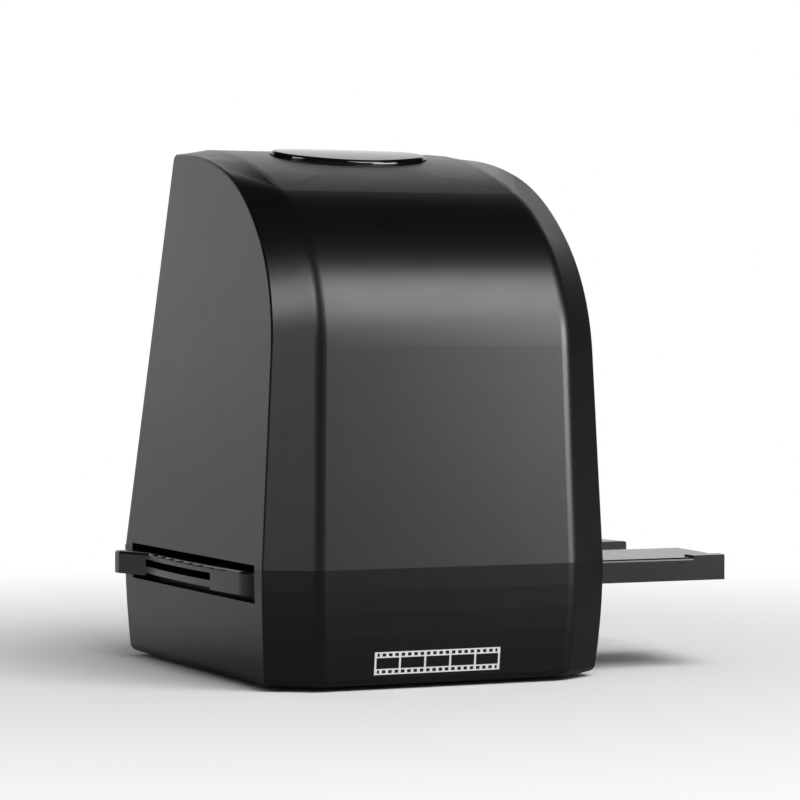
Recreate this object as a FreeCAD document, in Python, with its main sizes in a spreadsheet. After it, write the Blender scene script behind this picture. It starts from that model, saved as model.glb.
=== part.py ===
import FreeCAD, Part
import math
import os
import Sketcher

# Stand-alone film scanner with its film holder, in millimetres.
# +X is to the right of the curved face, +Y points to the sloped face with the display, +Z is up.
# The origin lies on the resting plane, under the middle of the housing.

os.makedirs("parts", exist_ok=True)
doc = FreeCAD.newDocument("film_scanner")

# Driving sizes
SIZES = {
    # Housing, cover and base
    "body_width": 76.0,
    "body_depth": 83.0,
    "parting_height": 24.4,
    "wall": 2.2,
    "floor_thickness": 2.0,
    "foot_height": 0.8,
    "side_draft": 2.93,
    "slope_lean": 13.1,
    "crease_inset": 9.8,
    "crease_draft": 1.2,
    "crease_radius": 4.5,
    "corner_radius": 0.6,
    "ridge_radius": 1.6,
    "slope_cut_height": 95.0,
    # Side profile of the cover along its two front corners
    "corner_lean": 0.76,
    "corner_straight": 43.0,
    "corner_low_radius": 34.6,
    "corner_low_turn": 49.0,
    "corner_middle_radius": 52.7,
    "corner_middle_turn": 16.6,
    "corner_top_radius": 101.0,
    # Side profile of the cover along the middle panel
    "panel_lead": 6.1,
    "panel_lean": 1.9,
    "panel_straight": 44.3,
    "panel_low_radius": 34.3,
    "panel_low_turn": 40.1,
    "panel_middle_radius": 45.4,
    "panel_middle_turn": 24.2,
    "panel_rise": 1.1,
    # Base
    "base_side_taper": 1.2,
    "base_front_taper": 1.7,
    "base_back_taper": 0.6,
    "base_edge_radius": 1.5,
    "foot_inset": 11.0,
    "foot_radius": 4.0,
    "foot_recess": 0.6,
    # Slot for the film holder
    "slot_height": 7.7,
    "slot_above_parting": 0.7,
    "slot_width": 73.9,
    "slot_offset": -0.3,
    # Film holder
    "holder_width": 71.0,
    "holder_drop": 1.4,
    "tray_thickness": 1.9,
    "lid_thickness": 3.0,
    "holder_right": 70.0,
    "holder_right_bow": 149.0,
    "holder_left": 39.0,
    "holder_left_bow": 330.0,
    "holder_tab": 3.5,
    "holder_tab_flat": 2.5,
    "holder_tab_run": 9.7,
    "holder_corner": 5.0,
    "film_offset": 3.5,
    "frame_length": 35.0,
    "frame_width": 24.0,
    "frame_pitch": 38.0,
    "first_frame": -20.8,
    "channel_width": 36.0,
    "channel_depth": 0.8,
    "mouth_width": 41.0,
    "mouth_depth": 1.55,
    "mouth_length": 4.0,
    "relief_depth": 0.5,
    "lid_edge_radius": 0.6,
    "lip_height": 0.4,
    "lip_length": 7.5,
    "lip_width": 4.0,
    "lid_pin_radius": 0.7,
    "lid_pin_length": 6.0,
    "lid_pin_inset": 2.2,
    "lid_pin_margin": 3.0,
    "notch_depth": 0.8,
    "notch_width": 3.0,
    # Guide that carries the holder
    "guide_thickness": 1.5,
    "guide_rail": 1.1,
    "guide_margin": 0.4,
    "gate_length": 40.0,
    "gate_width": 28.0,
    "post_radius": 2.6,
    "post_side": 30.0,
    "post_front": 31.0,
    "ear_side": 10.0,
    "ear_width": 10.0,
    "ear_length": 6.4,
    "detent_thickness": 0.3,
    "detent_length": 24.0,
    "detent_height": 2.0,
    "detent_window": 10.0,
    # Light under the film
    "light_length": 52.0,
    "light_width": 40.0,
    "light_wall": 1.5,
    "diffuser_thickness": 2.0,
    "diffuser_ledge": 0.8,
    "board_thickness": 1.2,
    "diode_size": 3.5,
    "diode_height": 0.9,
    "diode_pitch_long": 15.0,
    "diode_pitch_wide": 14.0,
    # Optics over the film
    "flange_length": 56.0,
    "flange_thickness": 1.2,
    "mask_length": 37.0,
    "mask_width": 25.0,
    "tower_length": 46.0,
    "tower_width": 34.0,
    "tower_top": 24.0,
    "tower_height": 37.0,
    "tower_wall": 1.5,
    "sensor_board_size": 26.0,
    "sensor_length": 10.0,
    "sensor_width": 8.0,
    "sensor_height": 1.2,
    "mount_size": 16.0,
    "mount_height": 8.0,
    "barrel_radius": 6.0,
    "barrel_head_radius": 7.0,
    "barrel_length": 9.0,
    "barrel_head": 3.0,
    "barrel_gap": 1.6,
    "lens_radius": 4.5,
    "lens_edge": 1.0,
    "lens_bulge": 0.7,
    "ribbon_width": 12.0,
    "ribbon_up": 30.0,
    "ribbon_thickness": 0.3,
    # Sloped face: distances up the slope from the parting line, depths into the machine
    "window_width": 57.0,
    "window_height": 45.0,
    "window_centre": 52.0,
    "window_thickness": 1.0,
    "window_ledge": 3.0,
    "window_radius": 2.0,
    "display_width": 58.0,
    "display_height": 44.0,
    "display_thickness": 4.0,
    "board_width": 62.0,
    "board_start": 4.0,
    "board_end": 82.0,
    "board_depth": 6.3,
    "main_board_thickness": 1.6,
    "boss_radius": 2.2,
    "low_boss_side": 27.0,
    "low_boss_up": 8.0,
    "high_boss_side": 26.0,
    "high_boss_up": 78.5,
    # Keys
    "key_width": 10.0,
    "key_height": 5.0,
    "key_radius": 2.0,
    "key_pitch": 14.0,
    "key_up": 17.0,
    "key_proud": 0.8,
    "key_flange": 1.0,
    "key_flange_thickness": 0.8,
    "key_travel": 0.5,
    "key_stem": 1.5,
    "key_edge_radius": 0.5,
    "switch_size": 4.5,
    "switch_height": 1.2,
    # Sockets on the right-hand side
    "usb_up": 24.0,
    "usb_width": 7.8,
    "usb_height": 4.0,
    "usb_length": 9.0,
    "card_up": 57.0,
    "card_width": 26.0,
    "card_height": 3.0,
    "card_length": 28.0,
    "socket_shell": 0.4,
    # Scan button on top
    "button_y": 4.5,
    "button_tilt": 10.0,
    "button_half_width": 17.5,
    "button_half_depth": 9.4,
    "button_end_radius": 6.5,
    "button_proud": 1.3,
    "button_dome_radius": 90.0,
    "button_edge_radius": 0.8,
    "button_skirt": 3.8,
    "button_flange": 1.2,
    "button_flange_thickness": 1.0,
    "button_hollow": 2.4,
    "button_stem_radius": 2.0,
    "button_stem_end": 8.2,
    "button_travel": 0.8,
    "button_board_depth": 12.0,
    "button_board_length": 50.0,
    "button_board_width": 12.0,
    "button_boss_side": 22.5,
    "button_switch_size": 6.0,
    "button_switch_height": 2.5,
    "button_switch_stem": 1.7,
    # Screws
    "case_screw_side": 20.0,
    "case_boss_inset": 6.6,
    "rib_width": 2.0,
    "case_boss_radius": 3.0,
    "case_boss_height": 14.0,
    "case_screw_radius": 1.3,
    "case_head_radius": 2.4,
    "case_head_height": 1.8,
    "case_head_up": 9.0,
    "case_screw_grip": 8.0,
    "screw_radius": 1.0,
    "screw_head_radius": 1.9,
    "screw_head_height": 1.1,
    "screw_length": 5.0,
    # Clearances
    "clear_fit": 0.1,
    "clear_slide": 0.3,
    "clear_seat": 0.05,
    "bury": 0.5,
    "overrun": 5.0,
}

sheet = doc.addObject("Spreadsheet::Sheet", "Sizes")
for row, (alias, number) in enumerate(SIZES.items(), start=1):
    sheet.set("A%d" % row, alias)
    sheet.set("B%d" % row, str(number))
    sheet.setAlias("B%d" % row, alias)
derived = doc.addObject("App::VarSet", "Derived")
doc.recompute()


class Size:
    """A size held both as a number and as the formula over the sheet that gives it."""

    def __init__(self, value, text):
        self.value = value
        self.text = text

    def __add__(self, other):
        other = as_size(other)
        return Size(self.value + other.value, "(%s + %s)" % (self.text, other.text))

    def __sub__(self, other):
        other = as_size(other)
        return Size(self.value - other.value, "(%s - %s)" % (self.text, other.text))

    def __mul__(self, other):
        other = as_size(other)
        return Size(self.value * other.value, "(%s * %s)" % (self.text, other.text))

    def __truediv__(self, other):
        other = as_size(other)
        return Size(self.value / other.value, "(%s / %s)" % (self.text, other.text))

    def __neg__(self):
        return Size(-self.value, "(0 - %s)" % self.text)

    def __radd__(self, other):
        return as_size(other) + self

    def __rsub__(self, other):
        return as_size(other) - self

    def __rmul__(self, other):
        return as_size(other) * self


def as_size(number):
    if isinstance(number, Size):
        return number
    return Size(float(number), repr(float(number)))


def size(alias):
    return Size(float(sheet.get(alias)), "Sizes." + alias)


def worked_out(name, wanted):
    """Keep a size that follows from the sheet under a name of its own."""
    derived.addProperty("App::PropertyFloat", name)
    derived.setExpression(name, wanted.text)
    doc.recompute()
    return Size(getattr(derived, name), "Derived." + name)


def root(square):
    return Size(math.sqrt(square.value), "sqrt(%s)" % square.text)


def sine(angle):
    return Size(math.sin(math.radians(angle.value)), "sin(%s * 1 deg)" % angle.text)


def cosine(angle):
    return Size(math.cos(math.radians(angle.value)), "cos(%s * 1 deg)" % angle.text)


def tangent(angle):
    return Size(math.tan(math.radians(angle.value)), "tan(%s * 1 deg)" % angle.text)


ZERO = as_size(0)
QUARTER_TURN = as_size(90)
ACROSS_SHARE = 0.5
EDGE_STEPS = 5
BOW_STEPS = 5
FRAME_COUNT = 3
KEY_PITCH_SHARES = (-1.5, -0.5, 0.5, 1.5)
KEY_LABELS = ("power_key", "menu_key", "left_key", "right_key")
DIODE_COLUMN_SHARES = (-1, 0, 1)
DIODE_ROW_SHARES = (-0.5, 0.5)
LENS_SHARES = (0.2, 0.7)


# Sizes that several pieces share
half_width = size("body_width") / 2
back_y = size("body_depth") / 2
front_y = -back_y
parting_z = size("parting_height")
wall = size("wall")
fit = size("clear_fit")
slide = size("clear_slide")
seat = size("clear_seat")
bury = size("bury")
overrun = size("overrun")
base_z = size("foot_height")
floor_z = base_z + size("floor_thickness")
lean = size("slope_lean")
crease_x = half_width - size("crease_inset")
slot_front = size("slot_offset") - size("slot_width") / 2
slot_back = size("slot_offset") + size("slot_width") / 2
slot_top = parting_z + size("slot_above_parting")
slot_bottom = slot_top - size("slot_height")
holder_top = slot_top - size("holder_drop")
split_z = holder_top - size("lid_thickness")
holder_bottom = split_z - size("tray_thickness")
holder_front = size("slot_offset") - size("holder_width") / 2
holder_back = size("slot_offset") + size("holder_width") / 2
film_y = size("film_offset")
guide_top = holder_bottom - slide
guide_bottom = guide_top - size("guide_thickness")
rail_top = holder_top + slide
rail_front = holder_front - slide
rail_back = holder_back + slide
tower_z = rail_top + size("flange_thickness")
tower_top_z = tower_z + size("tower_height")
board_depth = size("board_depth")
board_back = board_depth + size("main_board_thickness")


def bind(thing, path, wanted):
    thing.setExpression(path, wanted.text)


def new_body(label):
    body = doc.addObject("PartDesign::Body", label)
    body.Label = label
    return body


def origin_plane(body, role):
    for feature in body.Origin.OriginFeatures:
        if feature.Role == role:
            return feature


def new_sketch(body, name, role="XY_Plane", at=(ZERO, ZERO, ZERO), turn=None):
    """Sketch on an origin plane, moved by three sizes along the plane's own axes and turned about its x."""
    sketch = body.newObject("Sketcher::SketchObject", name)
    sketch.AttachmentSupport = (origin_plane(body, role), [""])
    sketch.MapMode = "FlatFace"
    angle = turn.value if turn else 0.0
    spot = FreeCAD.Vector(at[0].value, at[1].value, at[2].value)
    spin = FreeCAD.Rotation(FreeCAD.Vector(1, 0, 0), angle)
    sketch.AttachmentOffset = FreeCAD.Placement(spot, spin)
    for letter, wanted in zip("xyz", at):
        if wanted is not ZERO:
            bind(sketch, "AttachmentOffset.Base." + letter, wanted)
    if turn:
        bind(sketch, "AttachmentOffset.Rotation.Angle", turn)
    return sketch


def flat_vector(point):
    return FreeCAD.Vector(point[0].value, point[1].value, 0)


def fix_point(sketch, geometry, corner, point):
    """Hold one point of the sketch at two sizes from the sketch's origin."""
    for kind, wanted in zip(("DistanceX", "DistanceY"), point):
        index = sketch.addConstraint(Sketcher.Constraint(kind, -1, 1, geometry, corner, wanted.value))
        bind(sketch, "Constraints[%d]" % index, wanted)


def arc_middle(start, end, radius):
    """Middle of the arc from start to end; a positive radius bulges to the right of the way walked."""
    chord = end - start
    half = chord.Length / 2
    sagitta = abs(radius) - math.sqrt(max(radius * radius - half * half, 0.0))
    right = FreeCAD.Vector(chord.y, -chord.x, 0).normalize()
    return (start + end) / 2 + right * (sagitta if radius > 0 else -sagitta)


def outline(sketch, points, arcs=None):
    """Closed outline through the points; arcs gives the radius of each edge that isn't straight."""
    arcs = arcs or {}
    ends = []
    count = len(points)
    for number in range(count):
        start = flat_vector(points[number])
        end = flat_vector(points[(number + 1) % count])
        if number in arcs:
            middle = arc_middle(start, end, arcs[number].value)
            geometry = sketch.addGeometry(Part.Arc(start, middle, end), False)
            ends.append((geometry, 1, 2) if arcs[number].value > 0 else (geometry, 2, 1))
        else:
            geometry = sketch.addGeometry(Part.LineSegment(start, end), False)
            ends.append((geometry, 1, 2))
    for number in range(count):
        geometry, first, last = ends[number]
        following = ends[(number + 1) % count]
        sketch.addConstraint(Sketcher.Constraint("Coincident", geometry, last, following[0], following[1]))
    for number in range(count):
        fix_point(sketch, ends[number][0], ends[number][1], points[number])
        if number in arcs:
            radius = arcs[number]
            length = radius if radius.value > 0 else -radius
            index = sketch.addConstraint(Sketcher.Constraint("Radius", ends[number][0], length.value))
            bind(sketch, "Constraints[%d]" % index, length)


def rectangle(sketch, left, low, right, high):
    outline(sketch, [(left, low), (right, low), (right, high), (left, high)])


def rounded_rectangle(sketch, left, low, right, high, radius):
    points = [(left + radius, low), (right - radius, low), (right, low + radius), (right, high - radius),
              (right - radius, high), (left + radius, high), (left, high - radius), (left, low + radius)]
    outline(sketch, points, {1: radius, 3: radius, 5: radius, 7: radius})


def circle(sketch, x, y, radius):
    centre = FreeCAD.Vector(x.value, y.value, 0)
    geometry = sketch.addGeometry(Part.Circle(centre, FreeCAD.Vector(0, 0, 1), radius.value), False)
    fix_point(sketch, geometry, 3, (x, y))
    index = sketch.addConstraint(Sketcher.Constraint("Radius", geometry, radius.value))
    bind(sketch, "Constraints[%d]" % index, radius)


def volume(body):
    doc.recompute()
    return body.Shape.Volume if body.Tip else 0.0


def pad(body, sketch, length, down=False):
    feature = body.newObject("PartDesign::Pad", sketch.Name + "_pad")
    feature.Profile = sketch
    bind(feature, "Length", length)
    feature.Reversed = down
    body.Tip = feature
    doc.recompute()
    return feature


def pocket(body, sketch, length, along=False):
    """Cut against the sketch's normal, or along it, and stop if nothing was cut."""
    before = volume(body)
    feature = body.newObject("PartDesign::Pocket", sketch.Name + "_pocket")
    feature.Profile = sketch
    bind(feature, "Length", length)
    feature.Reversed = along
    body.Tip = feature
    if not volume(body) < before:
        raise RuntimeError("pocket %s cut nothing" % sketch.Name)
    return feature


def pocket_through(body, sketch):
    before = volume(body)
    feature = body.newObject("PartDesign::Pocket", sketch.Name + "_pocket")
    feature.Profile = sketch
    feature.Type = 1
    feature.Midplane = True
    body.Tip = feature
    if not volume(body) < before:
        raise RuntimeError("pocket %s cut nothing" % sketch.Name)
    return feature


def loft(body, kind, name, sketches):
    feature = body.newObject("PartDesign::" + kind, name)
    feature.Profile = sketches[0]
    feature.Sections = sketches[1:]
    feature.Ruled = True
    body.Tip = feature
    doc.recompute()
    return feature


def revolve(body, sketch, axis="V_Axis"):
    feature = body.newObject("PartDesign::Revolution", sketch.Name + "_turn")
    feature.Profile = sketch
    feature.ReferenceAxis = (sketch, [axis])
    feature.Angle = 360
    body.Tip = feature
    doc.recompute()
    return feature


def fillet(body, name, radius, wanted):
    """Round the edges for which wanted(middle, edge) is true."""
    base = body.Tip
    picked = []
    for number, edge in enumerate(base.Shape.Edges, start=1):
        middle = edge.valueAt((edge.FirstParameter + edge.LastParameter) / 2)
        if wanted(middle, edge):
            picked.append("Edge%d" % number)
    if not picked:
        raise RuntimeError("fillet %s found no edge" % name)
    feature = body.newObject("PartDesign::Fillet", name)
    feature.Base = (base, picked)
    bind(feature, "Radius", radius)
    body.Tip = feature
    doc.recompute()
    return feature


def place(thing, x, y, z, turn=None):
    """Put a finished sub-part at three sizes, turned about X."""
    angle = turn.value if turn else 0.0
    spin = FreeCAD.Rotation(FreeCAD.Vector(1, 0, 0), angle)
    thing.Placement = FreeCAD.Placement(FreeCAD.Vector(x.value, y.value, z.value), spin)
    for letter, wanted in zip("xyz", (x, y, z)):
        bind(thing, "Placement.Base." + letter, wanted)
    if turn:
        bind(thing, "Placement.Rotation.Angle", turn)


def place_on_slope(thing):
    """Sloped face: x to the right, y up the slope from the parting line, z into the machine."""
    place(thing, ZERO, back_y, parting_z, QUARTER_TURN + lean)


def slope_sketch(body, name, depth):
    """Sketch parallel to the sloped face, a depth into the machine."""
    y = back_y - depth * cosine(lean)
    z = parting_z - depth * sine(lean)
    return new_sketch(body, name, "XY_Plane", (ZERO, y, z), QUARTER_TURN + lean)


def slope_point(up, depth):
    """Place in the y-z plane of a point up the slope and into the machine."""
    y = back_y - depth * cosine(lean) - up * sine(lean)
    z = parting_z + up * cosine(lean) - depth * sine(lean)
    return (y, z)


# Housing profile

front_edge_y = {"corner": front_y, "panel": front_y - size("panel_lead")}


def rising_profile(kind, inset):
    """Points and arcs of a side profile's front, up to where its top arc starts."""
    straight = size(kind + "_straight")
    front = front_edge_y[kind] + inset
    y = front + straight * tangent(size(kind + "_lean"))
    height = straight
    angle = QUARTER_TURN - size(kind + "_lean")
    points = [(front, ZERO), (y, height)]
    arcs = {}
    for number, name in enumerate(("low", "middle"), start=1):
        radius = size("%s_%s_radius" % (kind, name)) - inset
        turn = size("%s_%s_turn" % (kind, name))
        y = y + radius * (sine(angle) - sine(turn))
        height = height + radius * (cosine(turn) - cosine(angle))
        arcs[number] = -radius
        angle = turn
        points.append((y, height))
    return points, arcs


def top_circle(kind, inset):
    """Centre and radius of the arc over the top of a side profile."""
    points, arcs = rising_profile(kind, inset)
    y, height = points[-1]
    turn = size(kind + "_middle_turn")
    radius = top_radius[kind] - inset
    return y + radius * sine(turn), height - radius * cosine(turn), radius


def top_end(kind, inset, sloped):
    """Where the top arc meets the back of the housing, sloped or upright."""
    centre_y, centre_height, radius = top_circle(kind, inset)
    back = back_y - inset / cosine(lean)
    if not sloped:
        return back, centre_height + root(radius * radius - (back - centre_y) * (back - centre_y))
    away = (back - centre_y) * cosine(lean) - centre_height * sine(lean)
    along = root(radius * radius - away * away)
    y = centre_y + away * cosine(lean) - along * sine(lean)
    return y, centre_height + away * sine(lean) + along * cosine(lean)


def panel_radius():
    """Radius that carries the middle panel's top arc to its named height over the corners' ridge."""
    points, arcs = rising_profile("panel", ZERO)
    y, height = points[-1]
    turn = size("panel_middle_turn")
    rise = ridge_height - height
    reach = back_y - ridge_height * tangent(lean) - y
    off_tangent = reach * sine(turn) - rise * cosine(turn)
    return (reach * reach + rise * rise) / (off_tangent + off_tangent)


top_radius = {"corner": size("corner_top_radius")}
corner_end_y, corner_end_height = top_end("corner", ZERO, True)
ridge_height = worked_out("ridge_height", corner_end_height + size("panel_rise"))
top_radius["panel"] = worked_out("panel_top_radius", panel_radius())


def profile(kind, inset, sloped):
    """Points and arcs of one side profile, from the parting line over the top to the back and down."""
    points, arcs = rising_profile(kind, inset)
    centre_y, centre_height, radius = top_circle(kind, inset)
    arcs[len(points) - 1] = -radius
    back = back_y - inset / cosine(lean)
    return points + [top_end(kind, inset, sloped), (back, ZERO)], arcs


def housing_sections(body, name, inset, sloped):
    """Four side profiles: left side, left crease, right crease, right side."""
    draft = size("side_draft")
    crease_draft = size("crease_draft")
    side = half_width - inset / cosine(draft)
    stations = (("left_side", -side, draft, "corner"), ("left_crease", -crease_x, crease_draft, "panel"),
                ("right_crease", crease_x, -crease_draft, "panel"), ("right_side", side, -draft, "corner"))
    sketches = []
    for label, x, turn, kind in stations:
        sketch = new_sketch(body, name + "_" + label, "YZ_Plane", (ZERO, parting_z, x), turn)
        points, arcs = profile(kind, inset, sloped)
        outline(sketch, points, arcs)
        sketches.append(sketch)
    return sketches


def button_sketch(body, name, depth):
    """Sketch square to the scan button's travel, a depth below the chord of the cover there."""
    tilt = size("button_tilt")
    y = size("button_y") + depth * sine(tilt)
    z = button_z - depth * cosine(tilt)
    return new_sketch(body, name, "XY_Plane", (ZERO, y, z), tilt)


def oval(sketch, grow):
    """Four-arc oval of the scan button, larger by grow all round."""
    half_long = size("button_half_width") + grow
    half_short = size("button_half_depth") + grow
    end = size("button_end_radius") + grow
    long_side = half_long * half_long + half_short * half_short - 2 * half_long * end
    long_radius = long_side / (2 * (half_short - end))
    share = end / (long_radius - end)
    x = (half_long - end) + share * (half_long - end)
    y = share * (long_radius - half_short)
    points = [(x, -y), (x, y), (-x, y), (-x, -y)]
    outline(sketch, points, {0: end, 1: long_radius, 2: end, 3: long_radius})


def panel_top_height(y):
    """Height over the parting line of the middle panel's top arc at a given y."""
    centre_y, centre_height, radius = top_circle("panel", ZERO)
    reach = centre_y - y
    return centre_height + root(radius * radius - reach * reach)


chord_half = size("button_half_depth") * cosine(size("button_tilt"))
button_low = panel_top_height(size("button_y") - chord_half)
button_high = panel_top_height(size("button_y") + chord_half)
button_z = worked_out("button_height", parting_z + (button_low + button_high) / 2)


def case_boss_y():
    return front_y - size("panel_lead") + size("case_boss_inset")


def make_cover():
    body = new_body("cover")
    loft(body, "AdditiveLoft", "cover_outside", housing_sections(body, "outer", ZERO, False))
    slope_run = math.tan(math.radians(lean.value))
    high = size("slope_cut_height")
    sketch = new_sketch(body, "slope_cut", "YZ_Plane")
    outline(sketch, [(back_y, parting_z), (back_y + overrun, parting_z), (back_y + overrun, parting_z + high),
                     (back_y - high * tangent(lean), parting_z + high)])
    pocket_through(body, sketch)

    def lengthwise(middle, edge, start_x, draft):
        """Whether an edge runs up and over the housing in the plane that leans in from start_x."""
        x_now = start_x.value - math.tan(math.radians(draft.value)) * (middle.z - parting_z.value)
        ahead = middle.y < back_y.value - slope_run * (middle.z - parting_z.value) - wall.value
        low_edge = middle.z < parting_z.value + fit.value
        return abs(abs(middle.x) - x_now) < slide.value and ahead and not low_edge

    def on_crease(middle, edge):
        return lengthwise(middle, edge, crease_x, size("crease_draft"))

    def on_corner(middle, edge):
        return lengthwise(middle, edge, half_width, size("side_draft"))

    fillet(body, "crease_rounding", size("crease_radius"), on_crease)

    def on_ridge(middle, edge):
        on_slope = abs(middle.y - back_y.value + slope_run * (middle.z - parting_z.value)) < slide.value
        upper = middle.z > parting_z.value + size("corner_straight").value
        across = abs(edge.tangentAt(edge.FirstParameter).x) > ACROSS_SHARE
        return upper and on_slope and across

    fillet(body, "ridge_rounding", size("ridge_radius"), on_ridge)
    fillet(body, "corner_rounding", size("corner_radius"), on_corner)
    loft(body, "SubtractiveLoft", "cover_inside", housing_sections(body, "inner", wall, True))

    # Rim of the slot for the film holder
    sketch = new_sketch(body, "slot_rim", "YZ_Plane")
    rectangle(sketch, slot_front, parting_z - overrun, slot_back, slot_top)
    pocket_through(body, sketch)

    # Display window: a ledge for the clear pane, and the opening behind it
    half = size("window_width") / 2
    high = size("window_height") / 2
    middle = size("window_centre")
    sketch = slope_sketch(body, "window_ledge", ZERO)
    radius = size("window_radius")
    rounded_rectangle(sketch, -half - fit, middle - high - fit, half + fit, middle + high + fit, radius)
    pocket(body, sketch, size("window_thickness"), along=True)
    ledge = size("window_ledge")
    sketch = slope_sketch(body, "window_opening", ZERO)
    rectangle(sketch, -half + ledge, middle - high + ledge, half - ledge, middle + high - ledge)
    pocket(body, sketch, wall + bury, along=True)

    # Key holes
    sketch = slope_sketch(body, "key_holes", ZERO)
    for x in key_places():
        wide = size("key_width") / 2 + slide
        tall = size("key_height") / 2 + slide
        up = size("key_up")
        rounded_rectangle(sketch, x - wide, up - tall, x + wide, up + tall, size("key_radius") + slide)
    pocket(body, sketch, wall + bury, along=True)

    # Openings of the two sockets in the right-hand side
    sketch = new_sketch(body, "socket_openings", "YZ_Plane", (ZERO, ZERO, half_width / 2))
    for name in ("usb", "card"):
        half = size(name + "_width") / 2 + slide
        up = size(name + "_up")
        near = board_back - slide
        far = board_back + size(name + "_height") + slide
        outline(sketch, [slope_point(up - half, near), slope_point(up + half, near),
                         slope_point(up + half, far), slope_point(up - half, far)])
    pocket(body, sketch, half_width, along=True)

    # Scan button opening
    sketch = button_sketch(body, "button_opening", -overrun)
    oval(sketch, slide)
    pocket(body, sketch, overrun + wall + wall)

    # Bosses: main board, button board and case screws
    sketch = slope_sketch(body, "board_bosses", wall - bury)
    for x, up in board_screw_places():
        circle(sketch, x, up, size("boss_radius"))
    pad(body, sketch, board_depth - wall + bury)
    sketch = slope_sketch(body, "board_boss_holes", board_depth)
    for x, up in board_screw_places():
        circle(sketch, x, up, size("screw_radius"))
    pocket(body, sketch, board_depth - wall - fit)

    depth = size("button_board_depth")
    sketch = button_sketch(body, "button_bosses", depth)
    for x in (-size("button_boss_side"), size("button_boss_side")):
        circle(sketch, x, ZERO, size("boss_radius"))
    pad(body, sketch, depth - wall + bury + bury)
    sketch = button_sketch(body, "button_boss_holes", depth)
    for x in (-size("button_boss_side"), size("button_boss_side")):
        circle(sketch, x, ZERO, size("screw_radius"))
    pocket(body, sketch, size("screw_length"), along=True)

    sketch = new_sketch(body, "case_bosses", "XY_Plane", (ZERO, ZERO, parting_z))
    for x in case_screw_places():
        circle(sketch, x, case_boss_y(), size("case_boss_radius"))
    pad(body, sketch, size("case_boss_height"))
    sketch = new_sketch(body, "case_boss_ribs", "XY_Plane", (ZERO, ZERO, parting_z))
    for x in case_screw_places():
        half = size("rib_width") / 2
        inside = front_y - size("panel_lead") + wall
        rectangle(sketch, x - half, inside - bury, x + half, case_boss_y())
    pad(body, sketch, size("case_boss_height"))
    sketch = new_sketch(body, "case_boss_holes", "XY_Plane", (ZERO, ZERO, parting_z))
    for x in case_screw_places():
        circle(sketch, x, case_boss_y(), size("case_screw_radius") + seat)
    pocket(body, sketch, size("case_screw_grip") + slide, along=True)
    return body


def key_places():
    pitch = size("key_pitch")
    return [pitch * as_size(share) for share in KEY_PITCH_SHARES]


def board_screw_places():
    low = size("low_boss_up")
    high = size("high_boss_up")
    return [(-size("low_boss_side"), low), (size("low_boss_side"), low),
            (-size("high_boss_side"), high), (size("high_boss_side"), high)]


def case_screw_places():
    return [-size("case_screw_side"), size("case_screw_side")]


def base_outline(sketch, level, inset, rounded):
    """Plan of the base at a level: its walls bow in towards the foot, and its front has three panels."""
    share = (parting_z - level) / (parting_z - base_z)
    side = half_width - size("base_side_taper") * share * share - inset
    crease = crease_x - size("base_side_taper") * share * share
    back = back_y - size("base_back_taper") * share * share - inset
    corner = front_y + size("base_front_taper") * share * share + inset
    lead = size("panel_lead")
    panel = corner - lead
    if not rounded:
        outline(sketch, [(-side, back), (-side, corner), (-crease, panel), (crease, panel), (side, corner),
                         (side, back)])
        return
    radius = size("crease_radius")
    bend = size("corner_radius")
    run = side - crease
    length = root(run * run + lead * lead)
    cut = bend * (length - lead) / run
    near = side - cut * run / length
    down = corner - cut * lead / length
    back_off = radius * (length - run) / lead
    out = crease + back_off * run / length
    up = panel + back_off * lead / length
    outline(sketch, [(-side, back), (-side, corner + cut), (-near, down), (-out, up), (back_off - crease, panel),
                     (crease - back_off, panel), (out, up), (near, down), (side, corner + cut), (side, back)],
            {1: bend, 3: radius, 5: radius, 7: bend})


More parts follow.
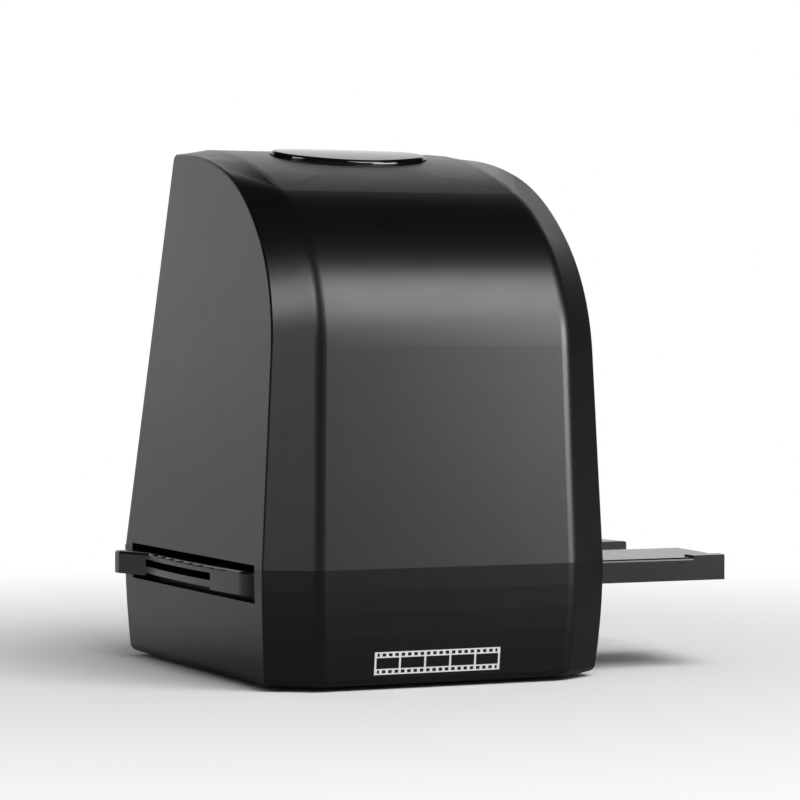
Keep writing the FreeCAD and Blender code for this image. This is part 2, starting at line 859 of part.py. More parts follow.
def make_base():
    body = new_body("base_shell")
    edge = size("base_edge_radius")
    sections = []
    for number in range(EDGE_STEPS + 1):
        angle = QUARTER_TURN * as_size(number / EDGE_STEPS)
        level = base_z + edge - edge * cosine(angle)
        sketch = new_sketch(body, "base_edge_%d" % number, "XY_Plane", (ZERO, ZERO, level))
        base_outline(sketch, level, edge - edge * sine(angle), True)
        sections.append(sketch)
    for number in range(1, BOW_STEPS + 1):
        level = base_z + edge + (parting_z - base_z - edge) * as_size(number / BOW_STEPS)
        sketch = new_sketch(body, "base_wall_%d" % number, "XY_Plane", (ZERO, ZERO, level))
        base_outline(sketch, level, ZERO, True)
        sections.append(sketch)
    loft(body, "AdditiveLoft", "base_outside", sections)
    low = new_sketch(body, "well_foot", "XY_Plane", (ZERO, ZERO, floor_z))
    base_outline(low, floor_z, wall, False)
    high = new_sketch(body, "well_top", "XY_Plane", (ZERO, ZERO, parting_z))
    base_outline(high, parting_z, wall, False)
    loft(body, "SubtractiveLoft", "base_inside", [low, high])

    # Slot for the film holder, through both side walls
    sketch = new_sketch(body, "base_slot", "YZ_Plane")
    rectangle(sketch, slot_front, slot_bottom, slot_back, parting_z + overrun)
    pocket_through(body, sketch)

    # Posts that carry the holder guide
    sketch = new_sketch(body, "guide_posts", "XY_Plane", (ZERO, ZERO, floor_z - bury))
    for x, y in guide_post_places():
        circle(sketch, x, y, size("post_radius"))
    pad(body, sketch, guide_bottom - floor_z + bury)
    sketch = new_sketch(body, "guide_post_holes", "XY_Plane", (ZERO, ZERO, guide_bottom))
    for x, y in guide_post_places():
        circle(sketch, x, y, size("screw_radius") + seat)
    pocket(body, sketch, size("screw_length"))

    # Posts for the case screws, bored from below for the heads
    sketch = new_sketch(body, "case_posts", "XY_Plane", (ZERO, ZERO, floor_z - bury))
    for x in case_screw_places():
        circle(sketch, x, case_boss_y(), size("case_boss_radius") + fit)
    pad(body, sketch, parting_z - floor_z + bury)
    sketch = new_sketch(body, "case_post_holes", "XY_Plane", (ZERO, ZERO, parting_z))
    for x in case_screw_places():
        circle(sketch, x, case_boss_y(), size("case_screw_radius") + fit)
    pocket(body, sketch, parting_z - base_z)
    sketch = new_sketch(body, "case_head_holes", "XY_Plane", (ZERO, ZERO, base_z))
    for x in case_screw_places():
        circle(sketch, x, case_boss_y(), size("case_head_radius") + fit)
    pocket(body, sketch, size("case_head_up"), along=True)

    # Shallow seats for the feet
    sketch = new_sketch(body, "foot_seats", "XY_Plane", (ZERO, ZERO, base_z))
    for x, y in foot_places():
        circle(sketch, x, y, size("foot_radius") + fit)
    pocket(body, sketch, size("foot_recess"), along=True)
    return body


def guide_post_places():
    side = size("post_side")
    front = size("post_front")
    return [(-side, -front), (side, -front), (-side, front), (side, front)]


def foot_places():
    side = half_width - size("foot_inset")
    back = back_y - size("foot_inset")
    front = front_y + size("foot_inset")
    return [(-side, front), (side, front), (-side, back), (side, back)]


def make_feet():
    body = new_body("rubber_feet")
    sketch = new_sketch(body, "feet")
    for x, y in foot_places():
        circle(sketch, x, y, size("foot_radius"))
    pad(body, sketch, base_z + size("foot_recess") - seat)
    return body


def make_screw_group(label, places, z, up, head_radius, head_height, shank_radius, shank_length):
    """A group of equal screws: each is a head with its shank, pointing up or down from z."""
    body = new_body(label)
    for number, (x, y) in enumerate(places):
        sketch = new_sketch(body, "%s_head_%d" % (label, number), "XY_Plane", (ZERO, ZERO, z))
        circle(sketch, x, y, head_radius)
        pad(body, sketch, head_height, down=up)
        sketch = new_sketch(body, "%s_shank_%d" % (label, number), "XY_Plane", (ZERO, ZERO, z))
        circle(sketch, x, y, shank_radius)
        pad(body, sketch, shank_length, down=not up)
    return body


def make_screws():
    head = size("case_head_radius")
    places = [(x, case_boss_y()) for x in case_screw_places()]
    z = base_z + size("case_head_up") - seat
    length = parting_z + size("case_screw_grip") - z
    make_screw_group("case_screws", places, z, True, head, size("case_head_height"), size("case_screw_radius"), length)
    head = size("screw_head_radius")
    shank = size("screw_radius")
    tall = size("screw_head_height")
    places = guide_post_places()
    z = guide_top - tall - seat
    make_screw_group("guide_screws", places, z, False, head, tall, shank, size("screw_length"))
    places = ear_places()
    make_screw_group("tower_screws", places, tower_z, False, head, tall, shank, size("screw_length"))
    length = board_back - wall - slide
    board = make_screw_group("board_screws", board_screw_places(), board_back, False, head, tall, shank, length)
    place_on_slope(board)
    places = [(-size("button_boss_side"), ZERO), (size("button_boss_side"), ZERO)]
    z = -size("button_board_depth") - size("board_thickness")
    button = make_screw_group("button_board_screws", places, z, True, head, tall, shank, size("screw_length"))
    place(button, ZERO, size("button_y"), button_z, size("button_tilt"))


def ear_places():
    y = rail_front - size("guide_rail") - size("ear_length") / 2
    return [(-size("ear_side"), y), (size("ear_side"), y)]


def ear_outlines(sketch):
    for x, y in ear_places():
        half = size("ear_width") / 2
        rectangle(sketch, x - half, y - size("ear_length") / 2, x + half, rail_front - size("guide_rail") + fit)


def make_guide():
    body = new_body("holder_guide")
    side = half_width - size("base_side_taper") - wall - size("guide_margin")
    rail = size("guide_rail")
    sketch = new_sketch(body, "guide_plate", "XY_Plane", (ZERO, ZERO, guide_bottom))
    rectangle(sketch, -side, rail_front - rail, side, rail_back + rail)
    pad(body, sketch, size("guide_thickness"))
    sketch = new_sketch(body, "guide_rails", "XY_Plane", (ZERO, ZERO, guide_bottom))
    rectangle(sketch, -side, rail_front - rail, side, rail_front)
    rectangle(sketch, -side, rail_back, side, rail_back + rail)
    pad(body, sketch, rail_top - guide_bottom)
    sketch = new_sketch(body, "guide_ears", "XY_Plane", (ZERO, ZERO, guide_bottom))
    ear_outlines(sketch)
    pad(body, sketch, rail_top - guide_bottom)
    sketch = new_sketch(body, "light_gate", "XY_Plane", (ZERO, ZERO, guide_top))
    long = size("gate_length") / 2
    wide = size("gate_width") / 2
    rectangle(sketch, -long, film_y - wide, long, film_y + wide)
    pocket(body, sketch, size("guide_thickness") + seat)
    sketch = new_sketch(body, "guide_head_seats", "XY_Plane", (ZERO, ZERO, guide_top))
    for x, y in guide_post_places():
        circle(sketch, x, y, size("screw_head_radius") + fit)
    pocket(body, sketch, size("screw_head_height") + seat)
    sketch = new_sketch(body, "guide_screw_holes", "XY_Plane", (ZERO, ZERO, guide_top))
    for x, y in guide_post_places():
        circle(sketch, x, y, size("screw_radius") + fit)
    pocket(body, sketch, size("guide_thickness") + seat)
    sketch = new_sketch(body, "ear_holes", "XY_Plane", (ZERO, ZERO, rail_top))
    for x, y in ear_places():
        circle(sketch, x, y, size("screw_radius") + seat)
    pocket(body, sketch, size("screw_length"))
    sketch = new_sketch(body, "detent_opening", "XZ_Plane", (ZERO, ZERO, -(rail_back + rail + seat)))
    half = size("detent_window") / 2
    middle = (holder_top + holder_bottom) / 2
    tall = size("detent_height") / 2 + slide
    rectangle(sketch, -half, middle - tall, half, middle + tall)
    pocket(body, sketch, rail + seat + seat, along=True)
    return body


def make_detent_spring():
    body = new_body("detent_spring")
    middle = (holder_top + holder_bottom) / 2
    thick = size("detent_thickness")
    base = rail_back + size("guide_rail") + seat
    tip = holder_back + slide
    end = size("detent_length") / 2
    foot = size("detent_window") / 2 - slide
    sketch = new_sketch(body, "leaf", "XY_Plane", (ZERO, ZERO, middle - size("detent_height") / 2))
    outline(sketch, [(-end, base), (-foot, base), (ZERO, tip), (foot, base), (end, base), (end, base + thick),
                     (foot, base + thick), (ZERO, tip + thick), (-foot, base + thick), (-end, base + thick)])
    pad(body, sketch, size("detent_height"))


def light_outline(sketch, inset):
    long = size("light_length") / 2 - inset
    wide = size("light_width") / 2 - inset
    rectangle(sketch, -long, film_y - wide, long, film_y + wide)


def make_light():
    top = guide_bottom - slide
    height = top - floor_z
    side = size("light_wall")
    ledge = side - size("diffuser_ledge")
    body = new_body("backlight_housing")
    sketch = new_sketch(body, "light_box", "XY_Plane", (ZERO, ZERO, floor_z))
    light_outline(sketch, ZERO)
    pad(body, sketch, height)
    sketch = new_sketch(body, "light_well", "XY_Plane", (ZERO, ZERO, top))
    light_outline(sketch, side)
    pocket(body, sketch, height - side)
    sketch = new_sketch(body, "light_rebate", "XY_Plane", (ZERO, ZERO, top))
    light_outline(sketch, ledge)
    pocket(body, sketch, size("diffuser_thickness"))

    body = new_body("diffuser_plate")
    sketch = new_sketch(body, "diffuser", "XY_Plane", (ZERO, ZERO, top - size("diffuser_thickness")))
    light_outline(sketch, ledge + fit)
    pad(body, sketch, size("diffuser_thickness"))

    body = new_body("led_board")
    sketch = new_sketch(body, "led_panel", "XY_Plane", (ZERO, ZERO, floor_z + side))
    light_outline(sketch, side + fit)
    pad(body, sketch, size("board_thickness"))

    body = new_body("backlight_leds")
    sketch = new_sketch(body, "diodes", "XY_Plane", (ZERO, ZERO, floor_z + side + size("board_thickness")))
    half = size("diode_size") / 2
    for column_share in DIODE_COLUMN_SHARES:
        for row_share in DIODE_ROW_SHARES:
            x = size("diode_pitch_long") * as_size(column_share)
            y = film_y + size("diode_pitch_wide") * as_size(row_share)
            rectangle(sketch, x - half, y - half, x + half, y + half)
    pad(body, sketch, size("diode_height"))


def centred_rectangle(sketch, long, wide):
    rectangle(sketch, -long / 2, film_y - wide / 2, long / 2, film_y + wide / 2)


def make_optics():
    rail = size("guide_rail")
    side = size("tower_wall")
    body = new_body("optics_tower")
    sketch = new_sketch(body, "tower_flange", "XY_Plane", (ZERO, ZERO, rail_top))
    long = size("flange_length") / 2
    rectangle(sketch, -long, rail_front - rail, long, rail_back + rail)
    pad(body, sketch, size("flange_thickness"))
    sketch = new_sketch(body, "tower_ears", "XY_Plane", (ZERO, ZERO, rail_top))
    ear_outlines(sketch)
    pad(body, sketch, size("flange_thickness"))
    low = new_sketch(body, "tower_foot", "XY_Plane", (ZERO, ZERO, tower_z - seat))
    centred_rectangle(low, size("tower_length"), size("tower_width"))
    high = new_sketch(body, "tower_head", "XY_Plane", (ZERO, ZERO, tower_top_z))
    centred_rectangle(high, size("tower_top"), size("tower_top"))
    loft(body, "AdditiveLoft", "tower_outside", [low, high])
    low = new_sketch(body, "tower_well_foot", "XY_Plane", (ZERO, ZERO, tower_z))
    centred_rectangle(low, size("tower_length") - side - side, size("tower_width") - side - side)
    high = new_sketch(body, "tower_well_head", "XY_Plane", (ZERO, ZERO, tower_top_z))
    centred_rectangle(high, size("tower_top") - side - side, size("tower_top") - side - side)
    loft(body, "SubtractiveLoft", "tower_inside", [low, high])
    sketch = new_sketch(body, "film_mask", "XY_Plane", (ZERO, ZERO, tower_z))
    centred_rectangle(sketch, size("mask_length"), size("mask_width"))
    pocket(body, sketch, size("flange_thickness"))
    sketch = new_sketch(body, "tower_ear_holes", "XY_Plane", (ZERO, ZERO, tower_z))
    for x, y in ear_places():
        circle(sketch, x, y, size("screw_radius") + fit)
    pocket(body, sketch, size("flange_thickness"))

    body = new_body("sensor_board")
    sketch = new_sketch(body, "sensor_panel", "XY_Plane", (ZERO, ZERO, tower_top_z))
    centred_rectangle(sketch, size("sensor_board_size"), size("sensor_board_size"))
    pad(body, sketch, size("board_thickness"))

    body = new_body("image_sensor")
    sketch = new_sketch(body, "sensor_chip", "XY_Plane", (ZERO, ZERO, tower_top_z - size("sensor_height")))
    centred_rectangle(sketch, size("sensor_length"), size("sensor_width"))
    pad(body, sketch, size("sensor_height"))

    mount_z = tower_top_z - size("mount_height")
    cavity = size("mount_height") - size("barrel_head")
    body = new_body("lens_mount")
    sketch = new_sketch(body, "mount_block", "XY_Plane", (ZERO, ZERO, mount_z))
    centred_rectangle(sketch, size("mount_size"), size("mount_size"))
    pad(body, sketch, size("mount_height"))
    sketch = new_sketch(body, "mount_bore", "XY_Plane", (ZERO, ZERO, mount_z))
    circle(sketch, ZERO, film_y, size("barrel_radius") + seat)
    pocket(body, sketch, cavity + seat, along=True)
    sketch = new_sketch(body, "mount_cavity", "XY_Plane", (ZERO, ZERO, tower_top_z))
    centred_rectangle(sketch, size("sensor_length") + side, size("sensor_width") + side)
    pocket(body, sketch, size("barrel_head"))

    barrel_z = mount_z - size("barrel_gap") - size("barrel_head")
    body = new_body("lens_barrel")
    sketch = new_sketch(body, "barrel_head_ring", "XY_Plane", (ZERO, ZERO, barrel_z))
    circle(sketch, ZERO, film_y, size("barrel_head_radius"))
    pad(body, sketch, size("barrel_head"))
    sketch = new_sketch(body, "barrel_tube", "XY_Plane", (ZERO, ZERO, barrel_z))
    circle(sketch, ZERO, film_y, size("barrel_radius"))
    pad(body, sketch, size("barrel_length"))
    sketch = new_sketch(body, "barrel_bore", "XY_Plane", (ZERO, ZERO, barrel_z))
    circle(sketch, ZERO, film_y, size("lens_radius") + seat)
    pocket(body, sketch, size("barrel_length"), along=True)

    body = new_body("lens_elements")
    edge = size("lens_edge")
    bulge = size("lens_bulge")
    reach = size("lens_radius")
    bend = (reach * reach + bulge * bulge) / (bulge * 2)
    for number, share in enumerate(LENS_SHARES, start=1):
        low = barrel_z + size("barrel_length") * as_size(share)
        sketch = new_sketch(body, "lens_%d" % number, "XZ_Plane", (ZERO, ZERO, -film_y))
        outline(sketch, [(ZERO, low - bulge), (reach, low), (reach, low + edge), (ZERO, low + edge + bulge)],
                {0: bend, 2: bend})
        revolve(body, sketch)

    board_top = tower_top_z + size("board_thickness")
    thick = size("ribbon_thickness")
    width = size("ribbon_width")
    start = film_y + width / 2
    edge = film_y + size("sensor_board_size") / 2 + fit
    landing = size("ribbon_up")
    tail = landing - width / 2
    body = new_body("sensor_ribbon")
    sketch = new_sketch(body, "ribbon_path", "YZ_Plane", (ZERO, ZERO, -width / 2))
    outline(sketch, [(start, board_top), (edge, board_top), slope_point(landing, board_back + thick),
                     slope_point(tail, board_back + thick), slope_point(tail, board_back),
                     slope_point(landing, board_back), (edge, board_top + thick), (start, board_top + thick)])
    pad(body, sketch, width)


def socket_right(name):
    """Where a socket's mouth lies: just inside the drafted right-hand wall."""
    y, z = slope_point(size(name + "_up") + size(name + "_width") / 2, board_back)
    return half_width - (z - parting_z) * tangent(size("side_draft")) - wall - slide


def make_socket(label, name):
    body = new_body(label)
    right = socket_right(name)
    up = size(name + "_up")
    half = size(name + "_width") / 2
    height = size(name + "_height")
    shell = size("socket_shell")
    sketch = new_sketch(body, name + "_case", "XY_Plane", (ZERO, ZERO, board_back))
    rectangle(sketch, right - size(name + "_length"), up - half, right, up + half)
    pad(body, sketch, height)
    sketch = new_sketch(body, name + "_mouth", "YZ_Plane", (ZERO, ZERO, right))
    rectangle(sketch, up - half + shell, board_back + shell, up + half - shell, board_back + height - shell)
    pocket(body, sketch, size(name + "_length") - shell)
    place_on_slope(body)


def make_display():
    half = size("window_width") / 2
    high = size("window_height") / 2
    middle = size("window_centre")
    body = new_body("display_window")
    sketch = new_sketch(body, "pane")
    rounded_rectangle(sketch, -half, middle - high, half, middle + high, size("window_radius"))
    pad(body, sketch, size("window_thickness"))
    place_on_slope(body)

    half = size("display_width") / 2
    high = size("display_height") / 2
    body = new_body("display_panel")
    sketch = new_sketch(body, "panel", "XY_Plane", (ZERO, ZERO, wall + seat))
    rectangle(sketch, -half, middle - high, half, middle + high)
    pad(body, sketch, size("display_thickness"))
    place_on_slope(body)

    half = size("board_width") / 2
    body = new_body("main_board")
    sketch = new_sketch(body, "board", "XY_Plane", (ZERO, ZERO, board_depth))
    rectangle(sketch, -half, size("board_start"), half, size("board_end"))
    pad(body, sketch, size("main_board_thickness"))
    sketch = new_sketch(body, "board_holes", "XY_Plane", (ZERO, ZERO, board_depth))
    for x, up in board_screw_places():
        circle(sketch, x, up, size("screw_radius") + fit)
    pocket(body, sketch, size("main_board_thickness"), along=True)
    place_on_slope(body)

    body = new_body("key_switches")
    sketch = new_sketch(body, "switches", "XY_Plane", (ZERO, ZERO, board_depth - size("switch_height")))
    half = size("switch_size") / 2
    up = size("key_up")
    for x in key_places():
        rectangle(sketch, x - half, up - half, x + half, up + half)
    pad(body, sketch, size("switch_height"))
    place_on_slope(body)


def make_key(label, x):
    body = new_body(label)
    wide = size("key_width") / 2
    tall = size("key_height") / 2
    up = size("key_up")
    proud = size("key_proud")
    flange_z = wall + slide
    sketch = new_sketch(body, label + "_cap", "XY_Plane", (ZERO, ZERO, -proud))
    rounded_rectangle(sketch, -wide, up - tall, wide, up + tall, size("key_radius"))
    pad(body, sketch, proud + flange_z + fit)
    fillet(body, label + "_rounding", size("key_edge_radius"), lambda middle, edge: middle.z < seat.value - proud.value)
    flange = size("key_flange")
    sketch = new_sketch(body, label + "_flange", "XY_Plane", (ZERO, ZERO, flange_z))
    rectangle(sketch, -wide - flange, up - tall - flange, wide + flange, up + tall + flange)
    pad(body, sketch, size("key_flange_thickness"))
    stem_end = board_depth - size("switch_height") - size("key_travel") - fit
    sketch = new_sketch(body, label + "_stem", "XY_Plane", (ZERO, ZERO, flange_z))
    circle(sketch, ZERO, up, size("key_stem"))
    pad(body, sketch, stem_end - flange_z)
    place(body, x, back_y, parting_z, QUARTER_TURN + lean)


def make_scan_button():
    body = new_body("scan_button")
    skirt = size("button_skirt")
    proud = size("button_proud")
    sketch = new_sketch(body, "button_cap", "XY_Plane", (ZERO, ZERO, -skirt))
    oval(sketch, ZERO)
    pad(body, sketch, skirt + proud)
    dome = size("button_dome_radius")
    half = size("button_half_depth") + slide
    drop = dome - root(dome * dome - half * half)
    sketch = new_sketch(body, "button_crown", "YZ_Plane")
    outline(sketch, [(-half, proud - drop), (half, proud - drop), (half, proud + overrun), (-half, proud + overrun)],
            {0: -dome})
    pocket_through(body, sketch)
    fillet(body, "button_rounding", size("button_edge_radius"), lambda middle, edge: middle.z > -fit.value)
    sketch = new_sketch(body, "button_lip", "XY_Plane", (ZERO, ZERO, -skirt))
    oval(sketch, size("button_flange"))
    pad(body, sketch, size("button_flange_thickness"))
    sketch = new_sketch(body, "button_well", "XY_Plane", (ZERO, ZERO, -skirt))
    oval(sketch, -size("button_hollow"))
    pocket(body, sketch, skirt - size("button_flange_thickness"), along=True)
    sketch = new_sketch(body, "button_stem", "XY_Plane", (ZERO, ZERO, -size("button_stem_end")))
    circle(sketch, ZERO, ZERO, size("button_stem_radius"))
    pad(body, sketch, size("button_stem_end"))
    place(body, ZERO, size("button_y"), button_z, size("button_tilt"))

    depth = size("button_board_depth")
    body = new_body("button_board")
    sketch = new_sketch(body, "button_panel", "XY_Plane", (ZERO, ZERO, -depth))
    long = size("button_board_length") / 2
    wide = size("button_board_width") / 2
    rectangle(sketch, -long, -wide, long, wide)
    pad(body, sketch, size("board_thickness"), down=True)
    sketch = new_sketch(body, "button_board_holes", "XY_Plane", (ZERO, ZERO, -depth))
    for x in (-size("button_boss_side"), size("button_boss_side")):
        circle(sketch, x, ZERO, size("screw_radius") + fit)
    pocket(body, sketch, size("board_thickness"))
    place(body, ZERO, size("button_y"), button_z, size("button_tilt"))

    body = new_body("button_switch")
    half = size("button_switch_size") / 2
    sketch = new_sketch(body, "switch_case", "XY_Plane", (ZERO, ZERO, -depth))
    rectangle(sketch, -half, -half, half, half)
    pad(body, sketch, size("button_switch_height"))
    sketch = new_sketch(body, "switch_stem", "XY_Plane", (ZERO, ZERO, -depth))
    circle(sketch, ZERO, ZERO, size("button_switch_stem"))
    pad(body, sketch, depth - size("button_stem_end") - size("button_travel") - fit)
    place(body, ZERO, size("button_y"), button_z, size("button_tilt"))


# Film holder: a tray below and a lid above, split at the film

def holder_outline(sketch):
    right = size("holder_right")
    left = -size("holder_left")
    tab = left - size("holder_tab")
    corner = size("holder_corner")
    tab_y = holder_back - size("holder_tab_flat")
    slope_y = tab_y - size("holder_tab_run")
    outline(sketch, [(left + corner, holder_front), (right, holder_front), (right, holder_back), (tab, holder_back),
                     (tab, tab_y), (left, slope_y), (left, holder_front + corner)],
            {1: size("holder_right_bow"), 5: size("holder_left_bow"), 6: corner})


def frame_centres():
    first = size("first_frame")
    pitch = size("frame_pitch")
    return [first + pitch * as_size(step) for step in range(FRAME_COUNT)]


def frame_windows(sketch, last_open):
    long = size("frame_length") / 2
    wide = size("frame_width") / 2
    for number, x in enumerate(frame_centres()):
        right = x + long
        if last_open and number == FRAME_COUNT - 1:
            right = size("holder_right") + size("frame_length")
        rectangle(sketch, x - long, film_y - wide, right, film_y + wide)


def cut_detents(body, name, z, thickness):
    sketch = new_sketch(body, name + "_notches", "XY_Plane", (ZERO, ZERO, z))
    half = size("notch_width") / 2
    for x in frame_centres():
        outline(sketch, [(x - half, holder_back), (x, holder_back - size("notch_depth")), (x + half, holder_back),
                         (x, holder_back + size("notch_depth"))])
    pocket(body, sketch, thickness, along=True)


def pin_starts():
    margin = size("lid_pin_margin")
    return [-size("holder_left") + margin, size("holder_right") - margin - size("lid_pin_length")]


def cut_pin_grooves(body, name):
    for number, x in enumerate(pin_starts()):
        sketch = new_sketch(body, "%s_pin_%d" % (name, number), "YZ_Plane", (ZERO, ZERO, x - slide))
        circle(sketch, holder_back - size("lid_pin_inset"), split_z, size("lid_pin_radius") + seat)
        pocket(body, sketch, size("lid_pin_length") + slide + slide, along=True)


def make_holder():
    body = new_body("film_tray")
    sketch = new_sketch(body, "tray_plan", "XY_Plane", (ZERO, ZERO, holder_bottom))
    holder_outline(sketch)
    pad(body, sketch, size("tray_thickness"))
    sketch = new_sketch(body, "tray_windows", "XY_Plane", (ZERO, ZERO, holder_bottom))
    frame_windows(sketch, last_open=False)
    pocket(body, sketch, size("tray_thickness"), along=True)
    left = -size("holder_left")
    mouth = size("mouth_width") / 2
    sketch = new_sketch(body, "mouth_relief", "XY_Plane", (ZERO, ZERO, holder_bottom))
    rectangle(sketch, left - overrun, film_y - mouth, left + size("mouth_length") / 2, film_y + mouth)
    pocket(body, sketch, size("relief_depth"), along=True)
    cut_detents(body, "tray", holder_bottom, size("tray_thickness"))
    cut_pin_grooves(body, "tray")

    body = new_body("film_lid")
    sketch = new_sketch(body, "lid_plan", "XY_Plane", (ZERO, ZERO, split_z))
    holder_outline(sketch)
    pad(body, sketch, size("lid_thickness"))
    fillet(body, "lid_rounding", size("lid_edge_radius"), lambda middle, edge: middle.z > holder_top.value - fit.value)
    half = size("holder_width") / 2
    bow = size("holder_right_bow")
    centre = size("holder_right") - root(bow * bow - half * half)
    lip_y = holder_front + size("lip_width")
    lip_reach = centre + root(bow * bow - (lip_y - size("slot_offset")) * (lip_y - size("slot_offset")))
    inner = size("holder_right") - size("lip_length")
    sketch = new_sketch(body, "grip_lip", "XY_Plane", (ZERO, ZERO, split_z))
    outline(sketch, [(inner, holder_front), (size("holder_right"), holder_front), (lip_reach, lip_y), (inner, lip_y)],
            {1: bow})
    pad(body, sketch, size("lid_thickness") + size("lip_height"))
    sketch = new_sketch(body, "lid_windows", "XY_Plane", (ZERO, ZERO, split_z))
    frame_windows(sketch, last_open=True)
    pocket(body, sketch, size("lid_thickness"), along=True)
    sketch = new_sketch(body, "film_channel", "XY_Plane", (ZERO, ZERO, split_z))
    wide = size("channel_width") / 2
    rectangle(sketch, left - overrun, film_y - wide, size("holder_right") - fit, film_y + wide)
    pocket(body, sketch, size("channel_depth"), along=True)
    sketch = new_sketch(body, "film_mouth", "XY_Plane", (ZERO, ZERO, split_z))
    rectangle(sketch, left - overrun, film_y - mouth, left + size("mouth_length"), film_y + mouth)
    pocket(body, sketch, size("mouth_depth"), along=True)
    cut_detents(body, "lid", split_z, size("lid_thickness"))
    cut_pin_grooves(body, "lid")

    body = new_body("lid_hinge_pins")
    for number, x in enumerate(pin_starts()):
        sketch = new_sketch(body, "pin_%d" % number, "YZ_Plane", (ZERO, ZERO, x))
        circle(sketch, holder_back - size("lid_pin_inset"), split_z, size("lid_pin_radius"))
        pad(body, sketch, size("lid_pin_length"))


make_cover()
make_base()
make_feet()
make_screws()
make_guide()
make_detent_spring()
make_light()
make_optics()
make_socket("usb_socket", "usb")
make_socket("card_socket", "card")
make_display()
for key_label, key_x in zip(KEY_LABELS, key_places()):
    make_key(key_label, key_x)
make_scan_button()
make_holder()
doc.recompute()

problems = []
for item in doc.Objects:
    if "Invalid" in item.State or "Error" in item.State:
        problems.append("%s is %s" % (item.Label, item.State))
bodies = [item for item in doc.Objects if item.TypeId == "PartDesign::Body"]
for body in bodies:
    if body.Shape.isNull() or not body.Shape.isValid():
        problems.append("%s has no valid shape" % body.Label)
if problems:
    raise RuntimeError("; ".join(problems))

for body in bodies:
    body.Shape.exportStep("parts/%s.step" % body.Label)
    print("%-20s %2d solids %9.1f mm3" % (body.Label, len(body.Shape.Solids), body.Shape.Volume))
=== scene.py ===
import math
import bmesh
import bpy
from mathutils import Matrix, Vector


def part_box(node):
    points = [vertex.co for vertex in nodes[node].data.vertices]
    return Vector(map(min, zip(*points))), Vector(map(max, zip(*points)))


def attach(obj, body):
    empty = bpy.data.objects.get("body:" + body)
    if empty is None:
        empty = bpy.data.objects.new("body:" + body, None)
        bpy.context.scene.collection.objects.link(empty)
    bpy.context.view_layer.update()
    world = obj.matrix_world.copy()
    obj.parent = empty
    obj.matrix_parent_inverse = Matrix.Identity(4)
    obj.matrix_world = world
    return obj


# Film scanner on a pale table, in metres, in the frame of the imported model.

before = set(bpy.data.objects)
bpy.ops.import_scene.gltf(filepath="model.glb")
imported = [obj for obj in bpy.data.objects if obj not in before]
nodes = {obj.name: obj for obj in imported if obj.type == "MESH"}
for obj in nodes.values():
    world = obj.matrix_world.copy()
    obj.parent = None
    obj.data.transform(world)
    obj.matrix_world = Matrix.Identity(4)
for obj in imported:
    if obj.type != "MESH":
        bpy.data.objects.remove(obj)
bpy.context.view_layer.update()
MM = 0.001

# Camera of the photograph
CAMERA_PLACE = Vector((-272.29, -639.63, 73.43)) * MM
CAMERA_YAW = math.radians(23.829)
CAMERA_PITCH = math.radians(-1.362)
CAMERA_LENS = 146.05
SENSOR_WIDTH = 36.0
CLIP_NEAR = 10 * MM
CLIP_FAR = 50.0

# Lamps: name, azimuth from the front towards the right, elevation, width, height, brightness, colour
LIGHT_CENTRE = Vector((0.0, 0.0, 60.0)) * MM
LIGHT_DISTANCE = 1.2
WHITE = (1.0, 1.0, 1.0)
WARM_WHITE = (1.0, 0.985, 0.96)
KEY_LAMP = ("key", 18, 55, 0.80, 0.80, 5.8, WHITE)
SOFTBOXES = (
    ("front_low", 42, 9, 0.50, 0.34, 16.0, WHITE),
    ("front_high", 31, 34, 0.50, 0.58, 8.4, WARM_WHITE),
    ("left_low", -44, 6, 0.40, 0.26, 2.8, WHITE),
    ("left_high", -40, 35, 0.40, 0.44, 10.0, WHITE),
)

# Room: the soft light on all surfaces, then what gloss sees of the white backdrop and of the rest
SOFT_LIGHT = 0.3
ROOM_SHARE = 0.012
BACKDROP_WAY = (0.3, 0.95)
BACKDROP_EDGE = (0.52, 0.74)
BACKDROP_TOP = (0.44, 0.66)

# Floor: its grey, its grey in gloss ahead of the object (painted shade: a darker grey that stands in for the
# floor's contact shadow seen in reflections), and the radii between which it turns white
FLOOR_HALF = 4.0
FLOOR_GREY = 0.9
FLOOR_PAINTED_SHADE_IN_GLOSS = 0.32
FLOOR_BEHIND_WAY = (-0.4, 0.9, 0.0)
FLOOR_BEHIND_EDGE = (0.0, 0.08)
FLOOR_WHITE_EDGE = (0.07, 0.30)
FLOOR_ROUGHNESS = 0.9
FLOOR_SPECULAR = 0.1

# Finishes
EVEN = (1.0, 1.0, 1.0)
BRUSHED = (0.1, 1.0, 1.0)
RUBBED = (0.2, 1.0, 1.0)
MOULD_GRAIN = 0.28 * MM
GRAIN_DEPTH = 0.012 * MM
TRACK_SPACING = 3.0 * MM
RIBBON_SPACING = 6.0 * MM
SCATTER_DEPTH = 2 * MM
DISPLAY_BORDER = 3.6 * MM

# Print on the front of the base, a plain strip of film. Shares are of its height, and the post's of the pitch
PRINT_LEFT = -15.9 * MM
PRINT_WIDTH = 27.7 * MM
PRINT_LOW = 3.1 * MM
PRINT_HEIGHT = 4.6 * MM
PRINT_THICKNESS = 0.04 * MM
PRINT_SINK = 0.02 * MM
PRINT_FRAMES = 5
PERFORATIONS_PER_FRAME = 4
EDGE_SHARE = 0.06
HOLE_SHARE = 0.14
BAR_SHARE = 0.09
POST_SHARE = 0.42
BASE_BOW = 1.7 * MM

# Signs on the keys of the sloped face, whose outer faces all lie in one plane
SLOPE_LEAN = math.radians(13.1)
KEY_FACE = Vector((0.0, 38.426, 41.14)) * MM
SIGN_LINE = 0.3 * MM
SIGN_REACH = 1.25 * MM
MENU_SPACING = 0.75 * SIGN_REACH
ARROW_BACK = 0.7 * SIGN_REACH
RING_STEPS = 20
RING_GAP = math.radians(40)


def colour4(colour):
    if isinstance(colour, (int, float)):
        colour = (colour, colour, colour)
    return (colour[0], colour[1], colour[2], 1.0)


